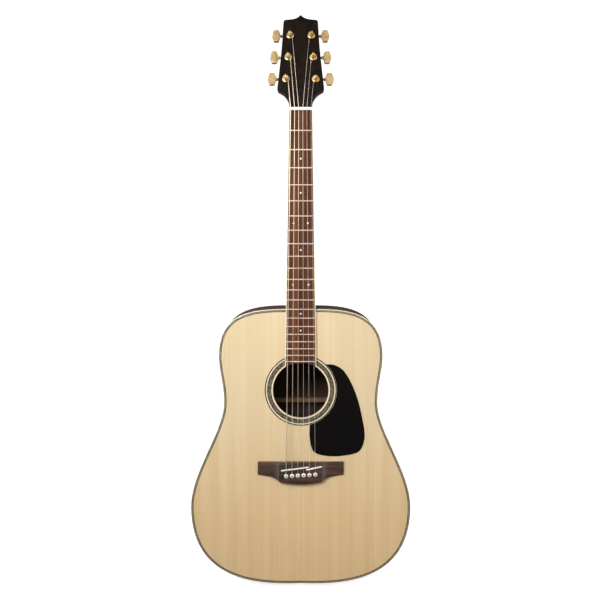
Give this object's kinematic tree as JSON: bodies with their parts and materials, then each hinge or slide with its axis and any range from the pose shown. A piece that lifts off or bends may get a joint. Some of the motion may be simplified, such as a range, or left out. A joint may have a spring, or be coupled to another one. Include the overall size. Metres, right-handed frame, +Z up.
{
  "type": "acoustic guitar",
  "caption": "Square-shouldered steel-string acoustic guitar with a spruce top, hollow rosewood body, bolt-free glued neck and geared tuners that turn.",
  "frame": {"origin": "centre of the strap button's flat outer face at the tail, the instrument's lowest point", "axes": "+Z up along the neck, soundboard facing -Y, +X towards the treble side, seen from the front to the right"},
  "size_m": [0.4068, 0.1332, 1.0618],
  "materials": {
    "spruce_top": "gloss lacquer over straight-grained spruce",
    "brace_spruce": "bare planed spruce",
    "body_rosewood": "gloss lacquer over dark streaked rosewood",
    "bridge_rosewood": "oiled satin rosewood",
    "fingerboard_rosewood": "oiled satin rosewood",
    "mahogany": "satin lacquer over mahogany",
    "hard_maple": "bare planed maple",
    "ivory_binding": "polished ivory-coloured plastic",
    "rosette_mosaic": "pearl mosaic between ivory rings under lacquer",
    "pickguard_black": "high gloss",
    "headplate_black": "black-stained veneer under gloss lacquer",
    "bone": "polished synthetic bone",
    "pin_ivory": "polished cream plastic with a dark dot",
    "gold": "polished gold plate",
    "amber_pearl": "pearly amber plastic",
    "bronze_string": "wound bronze",
    "plain_string": "plain steel wire",
    "rod_steel": "zinc-plated steel"
  },
  "bodies": {
    "root": {"soundboard": "spruce_top", "back_plate": "body_rosewood", "side_bass": "body_rosewood", "side_treble": "body_rosewood", "binding_front": "ivory_binding", "binding_back": "ivory_binding", "rosette": "rosette_mosaic", "pickguard": "pickguard_black", "bridge": "bridge_rosewood", "saddle_bass": "bone", "saddle_treble": "bone", "bridge_pin_1": "pin_ivory", "bridge_pin_2": "pin_ivory", "bridge_pin_3": "pin_ivory", "bridge_pin_4": "pin_ivory", "bridge_pin_5": "pin_ivory", "bridge_pin_6": "pin_ivory", "neck_block": "mahogany", "tail_block": "mahogany", "lining_front": "mahogany", "lining_back": "mahogany", "x_brace_bass": "brace_spruce", "x_brace_treble": "brace_spruce", "upper_face_brace": "brace_spruce", "bridge_plate": "hard_maple", "back_brace_1": "brace_spruce", "back_brace_2": "brace_spruce", "back_brace_3": "brace_spruce", "neck": "mahogany", "truss_rod": "rod_steel", "fretboard": "fingerboard_rosewood", "fretboard_binding_bass": "ivory_binding", "fretboard_binding_treble": "ivory_binding", "nut": "bone", "headplate": "headplate_black", "end_pin": "gold", "string_1": "bronze_string", "string_2": "bronze_string", "string_3": "bronze_string", "string_4": "bronze_string", "string_5": "plain_string", "string_6": "plain_string", "tuner_housing_1": "gold", "tuner_housing_2": "gold", "tuner_housing_3": "gold", "tuner_housing_4": "gold", "tuner_housing_5": "gold", "tuner_housing_6": "gold"},
    "post_1": {"tuner_post_1": "gold"},
    "knob_1": {"tuner_knob_1": "amber_pearl"},
    "post_2": {"tuner_post_2": "gold"},
    "knob_2": {"tuner_knob_2": "amber_pearl"},
    "post_3": {"tuner_post_3": "gold"},
    "knob_3": {"tuner_knob_3": "amber_pearl"},
    "post_4": {"tuner_post_4": "gold"},
    "knob_4": {"tuner_knob_4": "amber_pearl"},
    "post_5": {"tuner_post_5": "gold"},
    "knob_5": {"tuner_knob_5": "amber_pearl"},
    "post_6": {"tuner_post_6": "gold"},
    "knob_6": {"tuner_knob_6": "amber_pearl"}
  },
  "joints": [
    {"name": "post_1_turn", "type": "hinge", "parent": "root", "child": "post_1", "pos_m": [-0.0267, -0.05034, 0.94091], "axis": [0, 0.9703, -0.2419], "continuous": true},
    {"name": "knob_1_turn", "type": "hinge", "parent": "root", "child": "knob_1", "pos_m": [-0.0267, -0.0298, 0.94352], "axis": [1, 0, 0], "continuous": true},
    {"name": "post_2_turn", "type": "hinge", "parent": "root", "child": "post_2", "pos_m": [-0.0226, -0.04013, 0.98186], "axis": [0, 0.9703, -0.2419], "continuous": true},
    {"name": "knob_2_turn", "type": "hinge", "parent": "root", "child": "knob_2", "pos_m": [-0.0226, -0.01959, 0.98447], "axis": [1, 0, 0], "continuous": true},
    {"name": "post_3_turn", "type": "hinge", "parent": "root", "child": "post_3", "pos_m": [-0.0192, -0.02992, 1.02281], "axis": [0, 0.9703, -0.2419], "continuous": true},
    {"name": "knob_3_turn", "type": "hinge", "parent": "root", "child": "knob_3", "pos_m": [-0.0192, -0.00938, 1.02542], "axis": [1, 0, 0], "continuous": true},
    {"name": "post_4_turn", "type": "hinge", "parent": "root", "child": "post_4", "pos_m": [0.0192, -0.02992, 1.02281], "axis": [0, 0.9703, -0.2419], "continuous": true},
    {"name": "knob_4_turn", "type": "hinge", "parent": "root", "child": "knob_4", "pos_m": [0.0192, -0.00938, 1.02542], "axis": [1, 0, 0], "continuous": true},
    {"name": "post_5_turn", "type": "hinge", "parent": "root", "child": "post_5", "pos_m": [0.0226, -0.04013, 0.98186], "axis": [0, 0.9703, -0.2419], "continuous": true},
    {"name": "knob_5_turn", "type": "hinge", "parent": "root", "child": "knob_5", "pos_m": [0.0226, -0.01959, 0.98447], "axis": [1, 0, 0], "continuous": true},
    {"name": "post_6_turn", "type": "hinge", "parent": "root", "child": "post_6", "pos_m": [0.0267, -0.05034, 0.94091], "axis": [0, 0.9703, -0.2419], "continuous": true},
    {"name": "knob_6_turn", "type": "hinge", "parent": "root", "child": "knob_6", "pos_m": [0.0267, -0.0298, 0.94352], "axis": [1, 0, 0], "continuous": true}
  ],
  "couplings": [
    {"joint": "knob_1_turn", "follows": "post_1_turn", "ratio": 14},
    {"joint": "knob_2_turn", "follows": "post_2_turn", "ratio": 14},
    {"joint": "knob_3_turn", "follows": "post_3_turn", "ratio": 14},
    {"joint": "knob_4_turn", "follows": "post_4_turn", "ratio": 14},
    {"joint": "knob_5_turn", "follows": "post_5_turn", "ratio": 14},
    {"joint": "knob_6_turn", "follows": "post_6_turn", "ratio": 14}
  ]
}
